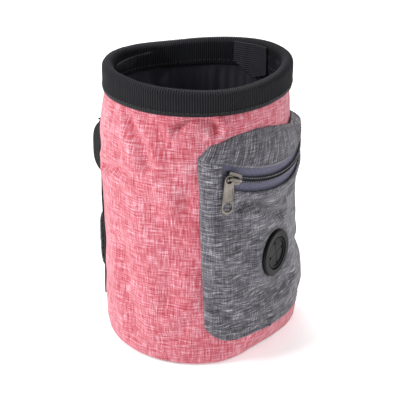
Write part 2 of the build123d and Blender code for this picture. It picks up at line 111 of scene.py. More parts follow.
class Shader:
    """A material under construction."""

    def __init__(self, name, roughness, **sockets):
        self.mat = bpy.data.materials.new(name)
        self.mat.use_nodes = True
        self.tree = self.mat.node_tree
        self.bsdf = self.tree.nodes["Principled BSDF"]
        self.bsdf.inputs["Roughness"].default_value = roughness
        for key, value in sockets.items():
            self.bsdf.inputs[key.replace("_", " ")].default_value = value

    def node(self, kind, inputs=None, **attributes):
        made = self.tree.nodes.new(kind)
        for key, value in attributes.items():
            setattr(made, key, value)
        for key, value in (inputs or {}).items():
            self.feed(made.inputs[key], value)
        return made

    def feed(self, socket, value):
        if hasattr(value, "is_output"):
            self.tree.links.new(value, socket)
        else:
            socket.default_value = value

    def coords(self, kind, scale):
        """UV or Object coordinates, scaled by cycles per metre."""
        source = self.node("ShaderNodeTexCoord").outputs[kind]
        return self.node("ShaderNodeMapping", {"Vector": source, "Scale": scale}).outputs[0]

    def noise(self, vector, scale=1.0, detail=2.0, rough=0.5, distortion=0.0):
        inputs = {"Vector": vector, "Scale": scale, "Detail": detail}
        inputs.update({"Roughness": rough, "Distortion": distortion})
        return self.node("ShaderNodeTexNoise", inputs).outputs["Fac"]

    def math(self, operation, a, b):
        return self.node("ShaderNodeMath", {0: a, 1: b}, operation=operation).outputs[0]

    def blend(self, first, second, share):
        """The weighted mean of two values, with share of the second."""
        rest = self.math("MULTIPLY", first, 1 - share)
        return self.math("ADD", rest, self.math("MULTIPLY", second, share))

    def weave(self, kind, scale):
        """Crossing waves: the small squares of a plain weave."""
        waves = []
        for axis in "XY":
            inputs = {"Vector": self.coords(kind, (1, 1, 1)), "Scale": scale}
            waves.append(self.node("ShaderNodeTexWave", inputs, bands_direction=axis).outputs["Fac"])
        return self.math("MULTIPLY", *waves)

    def spread(self, value, low, high, out_low=0.0, out_high=1.0):
        inputs = {"Value": value, "From Min": low, "From Max": high, "To Min": out_low, "To Max": out_high}
        return self.node("ShaderNodeMapRange", inputs).outputs[0]

    def ramp(self, value, stops):
        made = self.node("ShaderNodeValToRGB", {"Fac": value})
        elements = made.color_ramp.elements
        while len(elements) < len(stops):
            elements.new(0.5)
        for element, (at, colour) in zip(elements, stops):
            element.position = at
            element.color = colour
        return made.outputs["Color"]

    def mix(self, factor, a, b):
        made = self.node("ShaderNodeMix", data_type="RGBA")
        self.feed(made.inputs["Factor"], factor)
        self.feed(made.inputs["A"], a)
        self.feed(made.inputs["B"], b)
        return made.outputs["Result"]

    def colour(self, value):
        self.feed(self.bsdf.inputs["Base Color"], value)

    def bump(self, height, depth, strength):
        made = self.node("ShaderNodeBump", {"Height": height, "Distance": depth, "Strength": strength})
        self.tree.links.new(made.outputs[0], self.bsdf.inputs["Normal"])


YARN_SHORT, YARN_FINE = 150, 1700  # cycles per metre along and across a short slub
YARN_LONG, YARN_COARSE = 64, 1000
WEAVE_SCALE = 230.0


def melange(name, dark, low, high, light, warp_share=0.5):
    """A slub weave: long uneven yarns both ways, over a fine plain weave. UV is in metres."""
    s = Shader(name, 0.86, Sheen_Weight=0.25, Sheen_Roughness=0.5)
    weft = s.noise(s.coords("UV", (YARN_SHORT, YARN_FINE, 1)), detail=1.5)
    warp = s.noise(s.coords("UV", (YARN_FINE, YARN_SHORT, 1)), detail=1.5)
    weft_long = s.noise(s.coords("UV", (YARN_LONG, YARN_COARSE, 1)), detail=1.0)
    warp_long = s.noise(s.coords("UV", (YARN_COARSE, YARN_LONG, 1)), detail=1.0)
    speck = s.noise(s.coords("UV", (2100, 2100, 1)), detail=0.0)
    cloud = s.noise(s.coords("UV", (38, 38, 1)), detail=2.0)
    total = s.math("MULTIPLY", s.blend(weft, warp, warp_share), 0.50)
    for layer, weight in ((s.blend(weft_long, warp_long, warp_share), 0.30), (speck, 0.13), (cloud, 0.07)):
        total = s.math("ADD", total, s.math("MULTIPLY", layer, weight))
    tones = ((0.06, dark), (0.36, low), (0.64, high), (0.94, light))
    s.colour(s.ramp(s.spread(total, 0.375, 0.625), tones))
    relief = s.math("MULTIPLY", s.weave("UV", WEAVE_SCALE), 0.5)
    s.bump(s.math("ADD", relief, total), 0.00045, 0.8)
    return s.mat


def plain_cloth(name, colour, pale, rough, pitch, kind="UV"):
    """Cloth or thread of one colour. pitch, in mm, sets how fine the weave is."""
    s = Shader(name, rough, Sheen_Weight=0.2, Sheen_Roughness=0.45)
    grain = s.noise(s.coords(kind, (900, 900, 900)), detail=2.0)
    s.colour(s.mix(s.spread(grain, 0.3, 0.75), colour, pale))
    scale = 1 / (pitch * MM) / math.tau
    s.bump(s.math("ADD", s.weave(kind, scale), grain), 0.0002, 0.7)
    return s.mat


CORAL = melange(
    "coral_melange", srgb(164, 40, 56), srgb(196, 82, 98), srgb(216, 134, 148), srgb(240, 198, 208))
GREY = melange(
    "grey_melange", srgb(36, 34, 40), srgb(72, 70, 78), srgb(114, 112, 120), srgb(186, 184, 191), 0.34)
BINDING = plain_cloth("black_binding", srgb(20, 20, 23), srgb(40, 40, 44), 0.75, 0.6)
BACK_CLOTH = plain_cloth("back_fabric", srgb(20, 20, 23), srgb(40, 40, 44), 0.8, 0.7)
TAPE_CLOTH = plain_cloth("zip_tape", srgb(84, 83, 104), srgb(116, 114, 138), 0.75, 0.5)
THREAD_BLACK = plain_cloth("black_thread", srgb(14, 14, 17), srgb(32, 32, 37), 0.6, 0.3, kind="Object")
THREAD_GREY = plain_cloth("grey_thread", srgb(84, 82, 90), srgb(120, 118, 126), 0.6, 0.3, kind="Object")
THREAD_PALE = plain_cloth("pale_thread", srgb(150, 150, 158), srgb(190, 190, 196), 0.6, 0.3, kind="Object")


WAVE_UNIT = 20  # a wave texture turns by this many radians in one unit of length


def rib_webbing():
    """Ribbed binding: the wave's peaks follow the ribs of the mesh, which repeat along U. The colour follows
    the wave too: painted shade, dark in the grooves between ribs and pale on their crests, times the grain's
    own tone.
    """
    s = Shader("rib_webbing", 0.6, Sheen_Weight=0.05, Sheen_Roughness=0.4, Specular_IOR_Level=0.25)
    inputs = {"Vector": s.coords("UV", (1, 1, 1)), "Scale": RIBS / (WAVE_UNIT * ARC * MM)}
    inputs["Phase Offset"] = math.pi
    ribs = s.node("ShaderNodeTexWave", inputs, bands_direction="X").outputs["Fac"]
    grain = s.noise(s.coords("UV", (1500, 2600, 1)), detail=2.0)
    # painted shade: thread is the rib wave times the grain, so the colour below is darkest in the grooves
    # between ribs and palest on their crests
    thread = s.math("MULTIPLY", ribs, s.spread(grain, 0.3, 0.7, 0.55, 1.0))
    s.colour(s.mix(thread, srgb(3, 3, 5), srgb(40, 40, 47)))
    s.bump(s.math("ADD", ribs, s.math("MULTIPLY", grain, 0.5)), 0.0003, 0.8)
    return s.mat


def nylon():
    s = Shader("lining_nylon", 0.34, Specular_IOR_Level=1.0, Sheen_Weight=0.35, Sheen_Roughness=0.35)
    grain = s.noise(s.coords("UV", (1600, 1600, 1)), detail=1.0)
    folds = s.noise(s.coords("UV", (34, 26, 1)), detail=1.5, distortion=0.4)
    s.colour(s.mix(s.spread(grain, 0.3, 0.7), srgb(29, 29, 36), srgb(52, 52, 61)))
    s.bump(s.math("ADD", s.math("MULTIPLY", grain, 0.02), folds), 0.003, 0.5)
    return s.mat


def rubber():
    s = Shader("outlet_rubber", 0.5, Specular_IOR_Level=0.16)
    grain = s.noise(s.coords("Object", (1, 1, 1)), scale=1400, detail=2.0)
    smudge = s.noise(s.coords("Object", (1, 1, 1)), scale=90, detail=3.0)
    s.colour(s.mix(s.spread(smudge, 0.3, 0.75), srgb(7, 7, 9), srgb(16, 16, 19)))
    s.feed(s.bsdf.inputs["Roughness"], s.spread(smudge, 0.3, 0.7, 0.36, 0.52))
    s.bump(grain, 0.00006, 0.7)
    return s.mat


def moulding(name, colour, pale, low=0.38, high=0.55):
    """Moulded plastic, with roughness from low to high."""
    s = Shader(name, 0.45, Specular_IOR_Level=0.28)
    spark = s.noise(s.coords("Object", (1, 1, 1)), scale=2600, detail=1.0)
    cloud = s.noise(s.coords("Object", (1, 1, 1)), scale=60, detail=3.0)
    s.colour(s.mix(s.spread(cloud, 0.3, 0.7), colour, pale))
    s.feed(s.bsdf.inputs["Roughness"], s.spread(cloud, 0.3, 0.7, low, high))
    s.bump(spark, 0.0001, 0.6)
    return s.mat


def metal(name, colour, pale, rough):
    s = Shader(name, rough, Metallic=1.0)
    brushed = s.noise(s.coords("Object", (2600, 2600, 260)), detail=2.0)
    patch = s.noise(s.coords("Object", (1, 1, 1)), scale=180, detail=3.0)
    s.colour(s.mix(s.spread(patch, 0.3, 0.7), colour, pale))
    s.feed(s.bsdf.inputs["Roughness"], s.spread(brushed, 0.3, 0.7, rough - 0.08, rough + 0.12))
    s.bump(brushed, 0.00003, 0.6)
    return s.mat


WEBBING = rib_webbing()
NYLON = nylon()
RUBBER = rubber()
CLIP = moulding("clip_plastic", srgb(8, 8, 10), srgb(18, 18, 21))
BOARD = moulding("board_plastic", srgb(50, 50, 53), srgb(70, 70, 74))
NICKEL = metal("nickel", srgb(104, 99, 94), srgb(146, 139, 132), 0.24)
STEEL = metal("rivet_steel", srgb(150, 150, 152), srgb(190, 190, 194), 0.35)
COIL = moulding("zip_coil", srgb(20, 20, 23), srgb(40, 40, 44), 0.3, 0.45)


def floor_material():
    s = Shader("floor", 0.9)
    tone = s.noise(s.coords("Object", (1, 1, 1)), scale=3.0)
    s.colour(s.mix(tone, (0.93, 0.93, 0.93, 1), (0.95, 0.95, 0.95, 1)))
    s.bsdf.inputs["Emission Color"].default_value = (1, 1, 1, 1)
    s.bsdf.inputs["Emission Strength"].default_value = 0.42
    return s.mat


# ---- mesh helpers ------------------------------------------------------------------------------
def finish_piece(obj, mat, body, replaced=()):
    obj.data.materials.append(mat)
    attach(obj, body)
    if replaced:
        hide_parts(*replaced)
    return obj


def mesh_object(name, verts, faces, uvs=None):
    """A smooth shaded object from points in mm."""
    mesh = bpy.data.meshes.new(name)
    mesh.from_pydata([tuple(v) for v in np.asarray(verts) * MM], [], faces)
    if uvs is not None:
        layer = mesh.uv_layers.new(name="UVMap")
        layer.data.foreach_set("uv", np.asarray(uvs, dtype=np.float32).ravel())
    mesh.polygons.foreach_set("use_smooth", [True] * len(mesh.polygons))
    mesh.update()
    obj = bpy.data.objects.new(name, mesh)
    scene.collection.objects.link(obj)
    return obj


CLOSED = 0.0001  # a closed sheet whose U doesn't run round it


def grid(name, points, uv, wrap=0.0, keep=None, outward=True):
    """A sheet from points (nu, nv, 3) with uv (nu, nv, 2) in mm. wrap is the u length of a closed sheet."""
    nu, nv = points.shape[:2]
    columns = nu if wrap else nu - 1
    faces, uvs = [], []
    for i in range(columns):
        k = (i + 1) % nu
        shift = wrap if k == 0 else 0.0
        for j in range(nv - 1):
            if keep is not None and not keep[i, j]:
                continue
            corners = [(i, j, 0.0), (i, j + 1, 0.0), (k, j + 1, shift), (k, j, shift)]
            if not outward:
                corners.reverse()
            faces.append([a * nv + b for a, b, _ in corners])
            uvs.extend(((uv[a, b, 0] + more) * MM, uv[a, b, 1] * MM) for a, b, more in corners)
    used = sorted({v for face in faces for v in face})
    renumber = {old: new for new, old in enumerate(used)}
    faces = [[renumber[v] for v in face] for face in faces]
    return mesh_object(name, points.reshape(-1, 3)[used], faces, uvs)


def thicken(obj, thickness, offset=-1.0):
    """Gives a sheet its thickness: inwards at offset -1, outwards at 1."""
    solid = obj.modifiers.new("thickness", "SOLIDIFY")
    solid.thickness = thickness * MM
    solid.offset = offset
    solid.use_even_offset = True
    return obj


def plan(phi, radius, z):
    """Points at angle phi from the front towards -X, at radius from the tub's axis."""
    phi, radius, z = np.broadcast_arrays(phi, radius, z)
    return np.stack([-radius * np.sin(phi), -radius * np.cos(phi), z], axis=-1)


def smooth_curve(xs, ys, blur):
    """A rounded curve through a few values, as a function."""
    at = np.arange(xs[0] - 3 * blur, xs[-1] + 3 * blur, 0.5)
    values = np.interp(at, xs, ys)
    kernel = np.hanning(int(4 * blur) + 3)
    kernel /= kernel.sum()
    padded = np.pad(values, len(kernel) // 2, mode="edge")
    rounded = np.convolve(padded, kernel, mode="valid")[: len(at)]
    return lambda x: np.interp(x, at, rounded)


def lattice(seed, u, v, wrap_u=0):
    """Smooth random values from -1 to 1, one lattice cell per unit."""
    rng = np.random.default_rng(seed)
    table = rng.uniform(-1, 1, (128, 128))
    iu, iv = np.floor(u).astype(int), np.floor(v).astype(int)
    fu, fv = u - iu, v - iv
    fu, fv = fu * fu * (3 - 2 * fu), fv * fv * (3 - 2 * fv)
    a, b = (iu % wrap_u, (iu + 1) % wrap_u) if wrap_u else (iu % 128, (iu + 1) % 128)
    c, d = iv % 128, (iv + 1) % 128
    low = table[a, c] * (1 - fu) + table[b, c] * fu
    high = table[a, d] * (1 - fu) + table[b, d] * fu
    return low * (1 - fv) + high * fv


def fold(s, z, path, depth, width):
    """A crease along path, with a soft roll beside it. s is the arc length round the tub."""
    best = np.full(np.broadcast(s, z).shape, 1e9)
    for (s0, z0), (s1, z1) in zip(path, path[1:]):
        run, climb = s1 - s0, z1 - z0
        t = np.clip(((s - s0) * run + (z - z0) * climb) / (run * run + climb * climb), 0, 1)
        best = np.minimum(best, np.hypot(s - s0 - t * run, z - z0 - t * climb))
    roll = 0.45 * np.exp(-(((best - 2.1 * width) / width) ** 2))
    return depth * (roll - np.exp(-((best / width) ** 2)))


THREAD_SIDES = 6
THREAD_RINGS = ((-0.5, 0.25), (-0.36, 0.85), (0.0, 1.0), (0.36, 0.85), (0.5, 0.25))  # place and size


def capsules(name, path, normals, length, gap, radius, lift):
    """Stitches: short rounded threads laid along a path of points."""
    path = np.asarray(path, dtype=float)
    normals = np.asarray(normals, dtype=float)
    steps = np.linalg.norm(np.diff(path, axis=0), axis=1)
    along = np.concatenate([[0], np.cumsum(steps)])
    count = max(1, int(along[-1] // (length + gap)))
    verts, faces = [], []
    for n in range(count):
        middle = (n + 0.5) * (length + gap)
        at = np.array([np.interp(middle, along, path[:, k]) for k in range(3)])
        ahead = np.array([np.interp(middle + 0.6, along, path[:, k]) for k in range(3)])
        behind = np.array([np.interp(middle - 0.6, along, path[:, k]) for k in range(3)])
        out = np.array([np.interp(middle, along, normals[:, k]) for k in range(3)])
        tangent = (ahead - behind) / (np.linalg.norm(ahead - behind) + 1e-9)
        out = out - tangent * out.dot(tangent)
        out /= np.linalg.norm(out)
        side = np.cross(tangent, out)
        base = len(verts)
        for place, size in THREAD_RINGS:
            for k in range(THREAD_SIDES):
                a = math.tau * k / THREAD_SIDES
                bow = radius * 0.5 * (1 - (2 * place) ** 2)
                verts.append(
                    at + tangent * length * place + out * (lift + bow + radius * size * math.sin(a))
                    + side * radius * size * math.cos(a)
                )
        last = base + THREAD_SIDES * (len(THREAD_RINGS) - 1)
        for ring in range(base, last, THREAD_SIDES):
            for k in range(THREAD_SIDES):
                a, b = ring + k, ring + (k + 1) % THREAD_SIDES
                faces.append([a, b, b + THREAD_SIDES, a + THREAD_SIDES])
        faces.append([base + k for k in range(THREAD_SIDES - 1, -1, -1)])
        faces.append([last + k for k in range(THREAD_SIDES)])
    return mesh_object(name, verts, faces)


def join(name, parts):
    """One object out of several made by mesh_object."""
    verts, faces, base = [], [], 0
    for obj in parts:
        data = obj.data
        verts.extend(np.array(v.co) / MM for v in data.vertices)
        faces.extend([[base + i for i in p.vertices] for p in data.polygons])
        base += len(data.vertices)
        bpy.data.objects.remove(obj)
    return mesh_object(name, verts, faces)


def sew(name, rows, length, gap, radius, lift):
    """One object of stitches from rows of a path and its normals."""
    return join(name, [
        capsules(f"{name}_{k}", path, normals, length, gap, radius, lift)
        for k, (path, normals) in enumerate(rows)])


# ---- the tub's shape ---------------------------------------------------------------------------
# by height: how far the tub reaches from its axis at the sides and back, and at the front
side_radius = smooth_curve(
    (0, 6, 60, 112, 134, 148, 160, 176), (60.9, 61.6, 61.2, 61.6, 63.0, 61.8, 59.2, 58.7), 7)
front_radius = smooth_curve(
    (0, 10, 24, 45, 105, 135, 160, 176), (60.5, 62.0, 60.0, 54.6, 52.4, 50.8, 50.4, 50.4), 7)
# where the front of the tub stands: nearly straight between two rounded corners, by angle
foot_radius = smooth_curve(
    (-72, -55, -41, -31, -20, -8, 7, 22, 34.5, 45.5, 58.6, 72),
    (62.5, 62.8, 62.4, 59.9, 56.5, 52.6, 50.3, 51.2, 55.4, 59.2, 60.6, 61.4), 4)
FOOT_HEIGHT = 24.0
SIDE_FULLNESS = 1.7


def from_front(phi):
    """The angle from the front in degrees, from -180 to 180."""
    return np.degrees((phi + math.pi) % math.tau - math.pi)


def tub_radius(phi, z, grow=0.0):
    degrees = from_front(phi)
    away = np.abs(degrees)
    full = SIDE_FULLNESS * np.clip((158 - away) / 14, 0, 1) * np.clip((away - 50) / 30, 0, 1)
    full = full * np.clip((128 - z) / 22, 0, 1) * np.clip((z + 8) / 16, 0, 1)
    side, front = side_radius(z) + grow + full, front_radius(z) + grow
    ellipse = 1 / np.sqrt((np.sin(phi) / side) ** 2 + (np.cos(phi) / front) ** 2)
    low = np.clip((FOOT_HEIGHT - z) / FOOT_HEIGHT, 0, 1) ** 1.2 * np.clip((74 - away) / 18, 0, 1)
    ellipse = ellipse * (1 - low) + (foot_radius(degrees) + grow) * low
    return np.where(np.cos(phi) > 0, ellipse, side)


def deg(*pairs):
    """Angle and height pairs as arc length and height."""
    return [(math.radians(a) * ARC, z) for a, z in pairs]


CREASES = (  # path, depth and width of each crease in the shell
    (deg((71, 152.5), (66, 156.3), (59.6, 157.4), (54.1, 156), (49, 151.5)), 4.2, 2.6),
    (deg((101, 154), (98, 148), (92, 141), (88, 130)), 3.2, 3.6),
    (deg((136, 113), (122, 118), (112, 120), (103, 120.5)), 2.6, 3.0),
    (deg((84, 104), (76, 76), (76, 44)), 2.0, 6.0),
    (deg((108, 72), (104, 40), (98, 18)), 1.9, 5.5),
    (deg((66, 112), (70, 92), (66, 74)), 1.5, 5.0),
    (deg((132, 84), (138, 60)), 0.7, 6.0),
    (deg((64, 32), (72, 20), (86, 13)), 1.3, 4.0),
    (deg((-70, 140), (-84, 118), (-88, 90)), 1.2, 5.0),
    (deg((-96, 60), (-110, 34)), 1.0, 5.0),
    (deg((-118, 128), (-132, 104)), 1.1, 5.0),
)


def cloth_relief(phi, z):
    """How far the outer fabric stands in or out of the tub's plain shape."""
    wrapped = (phi + math.pi) % math.tau - math.pi
    s = wrapped * ARC
    turns = (wrapped + math.pi) / math.tau
    relief = 0.9 * lattice(3, turns * 12, z / 38, 12) + 0.65 * lattice(4, turns * 26, z / 22, 26)
    relief = relief + 0.22 * lattice(5, turns * 60, z / 9, 60)
    for path, depth, width in CREASES:
        relief = relief + fold(s, z, path, depth, width)
    under_band = np.clip((z - 126) / 30, 0, 1)
    gathers = lattice(6, turns * 34, z / 60, 34)
    relief = relief + gathers * under_band
    calm = np.clip((HEIGHT - 16 - z) / 4, 0, 1) * np.clip(z / 6, 0.35, 1)
    return relief * calm


def rim_drop(phi):
    """The mouth dips at the front left and behind, and stands up between the two."""
    degrees = from_front(phi)
    rear = np.minimum(np.abs(degrees - 212), np.abs(degrees + 148))
    drop = np.exp(-(((degrees - 38) / 42) ** 2)) + 0.7 * np.exp(-((rear / 26) ** 2))
    drop = drop - 0.32 * np.exp(-(((degrees + 72) / 30) ** 2))
    return drop - 0.2 * np.exp(-(((degrees - 160) / 20) ** 2))


def make_shell():
    phi = np.linspace(0, math.tau, 380, endpoint=False)[:, None]
    heights = np.concatenate([[0.35, 0.7, 1.3, 2.2, 3.4, 4.8], np.arange(6.2, 170.5, 1.25)])[None, :]
    radius = tub_radius(phi, heights) + cloth_relief(phi, heights)
    tuck = np.clip((5.0 - heights) / 4.6, 0, 1)  # the rounded lower edge
    radius = radius - 3.0 * (1 - np.sqrt(1 - tuck**2 * 0.98))
    uv = np.stack(np.broadcast_arrays(phi * ARC, heights), axis=-1)
    shell = grid("tub_shell", plan(phi, radius, heights), uv, wrap=math.tau * ARC)
    thicken(shell, 1.3)
    finish_piece(shell, CORAL, "pouch", ("outer_shell",))


LINING_IN = 4.6  # from the tub's outline in to the lining, and from the floor up to its bottom
SEWN_ABOVE = 156  # the lining is held by the binding from here up


def settle(obj, sewn, frames, spare, cap):
    """Lets a cloth larger than its seams by spare buckle between them. No point moves more than cap."""
    group = obj.vertex_groups.new(name="sewn")
    group.add(sewn, 1.0, "REPLACE")
    cloth = obj.modifiers.new("cloth", "CLOTH")
    cloth.settings.quality = 8
    cloth.settings.mass = 0.3
    cloth.settings.vertex_group_mass = "sewn"
    cloth.settings.tension_stiffness = cloth.settings.compression_stiffness = 15
    cloth.settings.shear_stiffness = 8
    cloth.settings.bending_stiffness = 0.5
    cloth.settings.shrink_min = -spare
    cloth.collision_settings.use_collision = False
    cloth.point_cache.frame_start, cloth.point_cache.frame_end = 1, frames
    for frame_number in range(1, frames + 1):
        scene.frame_set(frame_number)
    shaped = obj.evaluated_get(bpy.context.evaluated_depsgraph_get()).data
    before = np.array([v.co for v in obj.data.vertices])
    after = np.array([v.co for v in shaped.vertices])
    scene.frame_set(1)
    obj.modifiers.remove(cloth)
    obj.vertex_groups.remove(group)
    moved = after - before
    length = np.linalg.norm(moved, axis=1, keepdims=True)
    moved *= np.minimum(1, cap * MM / np.maximum(length, 1e-9))
    points = (before + moved) / MM
    phi = np.arctan2(-points[:, 0], -points[:, 1])
    far = np.hypot(points[:, 0], points[:, 1])
    limit = tub_radius(phi, points[:, 2], -4.4)
    points[:, :2] *= np.minimum(1, limit / np.maximum(far, 1e-6))[:, None]
    points[:, 2] = np.maximum(points[:, 2], LINING_IN)
    obj.data.vertices.foreach_set("co", (points * MM).astype(np.float32).ravel())
    obj.data.update()


def make_lining():
    phi = np.linspace(0, math.tau, 160, endpoint=False)[:, None]
    heights = np.linspace(LINING_IN, 169.4, 66)[None, :]
    turns = phi / math.tau
    loose = np.clip((156.5 - rim_drop(phi) * 1.3 - heights) / 9, 0, 1)
    swirl = turns * 14 + 1.2 * lattice(21, turns * 5, heights / 44, 5)
    ridges = lattice(22, swirl, heights / 52, 14)
    small = lattice(23, turns * 30 + 0.5 * ridges, heights / 26, 30)
    radius = tub_radius(phi, heights, -LINING_IN) - loose * (3.4 + 3.2 * ridges + 1.1 * small)
    uv = np.stack(np.broadcast_arrays(phi * ARC, heights), axis=-1)
    lining = grid("lining_wall", plan(phi, radius, heights), uv, wrap=math.tau * ARC, outward=False)
    columns, rows = radius.shape
    held = [j for j in range(rows) if j == 0 or heights[0, j] > SEWN_ABOVE]
    sewn = [i * rows + j for i in range(columns) for j in held]
    settle(lining, sewn, frames=26, spare=0.12, cap=13)
    lining.modifiers.new("smoother", "SUBSURF").levels = 1
    lining.modifiers["smoother"].render_levels = 1
    rings = np.linspace(0.02, 1, 26)[None, :]
    rim = radius[:, :1]
    ripple = 0.5 * lattice(25, turns * 14, rings * 6, 14)
    floor = plan(phi, rings * rim, LINING_IN + 0.5 * (1 - rings) + ripple * (1 - rings))
    uv = floor[..., :2].copy()
    bottom = grid("lining_floor", floor, uv, wrap=CLOSED, outward=True)
    thicken(lining, 0.4, 1.0).modifiers["thickness"].use_even_offset = False
    finish_piece(lining, NYLON, "pouch", ("inner_lining",))
    finish_piece(bottom, NYLON, "pouch")


RIB = math.tau * 55 / RIBS  # from one rib to the next
RIB_RELIEF = 0.24
BAND_LEVEL = HEIGHT - 8.0  # where the tub's outline is taken for the whole binding
BAND_DEPTH = 15.6
DIP_TOP, DIP_LESS = 3.0, 1.3  # the mouth's dip at its top, and how much less at the binding's foot


def band_profile():
    """The binding in section: distance from the tub's outline, height, and how far the ribs stand."""
    outside = [(1.25, z, 1.0) for z in np.arange(-BAND_DEPTH, -3.4, 1.0)]
    outside[0] = (1.0, -BAND_DEPTH, 0.0)
    outside[1] = (1.25, -14.8, 0.0)
    outside[2] = (1.3, -13.6, 0.3)
    middle, half = -1.95, 3.2
    over = [
        (middle + half * math.cos(a), -half + half * math.sin(a), 1.0) for a in np.linspace(0, math.pi, 13)
    ]
    inside = [(middle - half - 0.02 * k, -half - 1.0 - k, 1.0) for k in range(13)]
    inside += [(middle - half - 0.1, -17.0, 0.3), (middle - half + 0.1, -17.6, 0.0)]
    return outside + over + inside


def make_rim():
    steps_per_rib = 5
    phi = np.linspace(0, math.tau, RIBS * steps_per_rib, endpoint=False)[:, None]
    section = np.array(band_profile())
    out, height, ribbed = section[:, 0][None, :], section[:, 1][None, :], section[:, 2][None, :]
    drop = rim_drop(phi)
    turns = phi / math.tau
    wave = 0.35 * lattice(31, turns * 16, height / 9, 16) + 0.2 * lattice(32, turns * 44, height / 6, 44)
    rib = RIB_RELIEF * np.cos(phi * RIBS) * ribbed
    share = np.clip(-height / BAND_DEPTH, 0, 1)
    z = HEIGHT + height - drop * (DIP_TOP - DIP_LESS * share) + 0.25 * lattice(33, turns * 9, height * 0, 9)
    step = np.gradient(section[:, :2], axis=0)
    length = np.hypot(step[:, 0], step[:, 1])
    normal_out, normal_up = step[:, 1] / length, -step[:, 0] / length
    base = tub_radius(phi, BAND_LEVEL) + out + wave
    radius = base + rib * normal_out[None, :]
    along = np.concatenate([[0], np.cumsum(np.hypot(*np.diff(section[:, :2], axis=0).T))])
    uv = np.stack(np.broadcast_arrays(phi * ARC, along[None, :]), axis=-1)
    band = grid("rim_binding", plan(phi, radius, z + rib * normal_up[None, :]), uv, wrap=math.tau * ARC)
    thicken(band, 1.0)
    finish_piece(band, WEBBING, "pouch", ("rim_band",))


def make_rim_stitches():
    ring = np.linspace(0, math.tau, 400)
    rows = []
    for grow, down, sign in ((1.3, 13.2, 1), (-5.2, 14.6, -1)):
        around = ring if sign > 0 else ring[::-1]
        share = min(1.0, down / BAND_DEPTH)
        heights = HEIGHT - down - rim_drop(around) * (DIP_TOP - DIP_LESS * share)
        path = plan(around, tub_radius(around, BAND_LEVEL) + grow + 0.15 * sign, heights)
        normals = plan(around, np.full_like(around, sign), 0 * around)
        rows.append((path, normals))
    stitches = sew("rim_stitches", rows, 2.3, 0.9, 0.24, 0.12)
    finish_piece(stitches, THREAD_BLACK, "pouch")


def make_hoop():
    phi = np.linspace(0, math.tau, 240, endpoint=False)[:, None]
    levels = np.array([-14.0, -10.0, -6.0, -4.6])[None, :]
    z = HEIGHT + levels - rim_drop(phi) * 2.4
    uv = np.stack(np.broadcast_arrays(phi * ARC, levels), axis=-1)
    hoop = grid("rim_stiffener", plan(phi, tub_radius(phi, BAND_LEVEL) - 1.8, z), uv, wrap=math.tau * ARC)
    thicken(hoop, 0.9)
    finish_piece(hoop, BOARD, "pouch", ("rim_hoop",))


def make_tail():
    """The end of the binding, folded at 45 degrees on the inside of the mouth."""
    s = np.linspace(-16.5, 9.5, 80)[:, None]
    t = np.linspace(0, 1, 84)[None, :]
    top = HEIGHT - 1.6
    bottom = HEIGHT - np.interp(s, (-16.5, -5.0, 9.5), (19.4, 23.4, 14.5))
    z = top + (bottom - top) * t
    centre = math.radians(-90)
    phi = centre - s / 52.0
    rib = RIB_RELIEF * np.cos(z / RIB * math.tau)
    lift = 0.5 * np.exp(-(((s - 2) / 2.5) ** 2)) + 0.25 * lattice(36, s / 6 + 9, z / 6)
    radius = tub_radius(phi, BAND_LEVEL) - 5.9 - rib - lift
    uv = np.stack(np.broadcast_arrays(z / RIB * math.tau * ARC / RIBS, s), axis=-1)
    tail = grid("binding_end", plan(phi, radius, z), uv, outward=False)
    thicken(tail, 0.9, 1.0)
    finish_piece(tail, WEBBING, "pouch", ("rim_band_tail",))


# ---- the pocket --------------------------------------------------------------------------------
POCKET_R, POCKET_Y = 80.0, 22.5
ZIP_FRONT, ZIP_Z, ZIP_RISE = -56.1, 116.4, 0.68
WINDOW_HALF_W = 46.0
OUTLET = (-8.5, -57.1, 66.8)  # middle of the outlet's seat
OUTLET_R = 14.7
WINDOW_AT = math.atan2(WINDOW_HALF_W, math.sqrt(POCKET_R**2 - WINDOW_HALF_W**2) - POCKET_Y)
SEAM_RISE = 7.3  # from the zip's middle to either edge of its window
# by angle, the pocket's top edge; by height, the angle of its sides
pocket_top = smooth_curve(
    (-62, -58, -54, -48, -40, -30, -11, 8, 21, 34, 45, 51.5, 55.5, 58, 62),
    (129, 133, 137.5, 139.8, 138.6, 137.2, 142, 146, 147.6, 147, 145, 142.6, 138.5, 133.5, 131), 2)
pocket_side = smooth_curve((0, 28, 73, 128, 150), (55.5, 56.0, 58.0, 59.6, 60.0), 8)


def arc_radius(phi, shrink=0.0):
    """From the tub's axis to the pocket's round front."""
    r = POCKET_R - shrink
    return -POCKET_Y * np.cos(phi) + np.sqrt(r * r - (POCKET_Y * np.sin(phi)) ** 2)


def zip_height(phi, shrink=1.4):
    """Height of the zip's middle where a line from the axis at phi meets the tape."""
    return ZIP_Z + ZIP_RISE * (-arc_radius(phi, shrink) * np.cos(phi) - ZIP_FRONT)


def rise(distance, reach, power=2.2):
    """From 0 at an edge to 1 at reach from it, steepest at the edge."""
    return 1 - (1 - np.clip(distance / reach, 0, 1)) ** power


POCKET_FOLDS = (  # path, depth and width, as for the shell
    (deg((36, 106.5), (27, 107), (20, 102), (10, 94), (2, 90)), 3.6, 3.0),
    (deg((2, 102), (-8, 101), (-18, 104)), 1.4, 2.8),
    (deg((44, 100), (40, 84), (34, 76)), 1.0, 4.0),
    (deg((42, 66), (34, 56), (24, 46), (8, 42), (-10, 44)), 1.7, 4.0),
    (deg((20, 84), (30, 72), (34, 56)), 0.6, 4.5),
    (deg((-2, 46), (-12, 34), (-24, 30)), 0.9, 4.0),
    (deg((50, 42), (42, 31), (30, 26), (18, 27)), 1.9, 2.8),
    (deg((43, 21.5), (36, 20.5), (27, 22.5), (18, 23.5)), 2.4, 1.6),
    (deg((54, 78), (48, 60), (50, 44)), 1.3, 3.2),
    (deg((-24, 108), (-30, 96), (-30, 84)), 1.4, 4.0),
    (deg((-26, 62), (-34, 54), (-46, 52)), 1.3, 4.0),
)


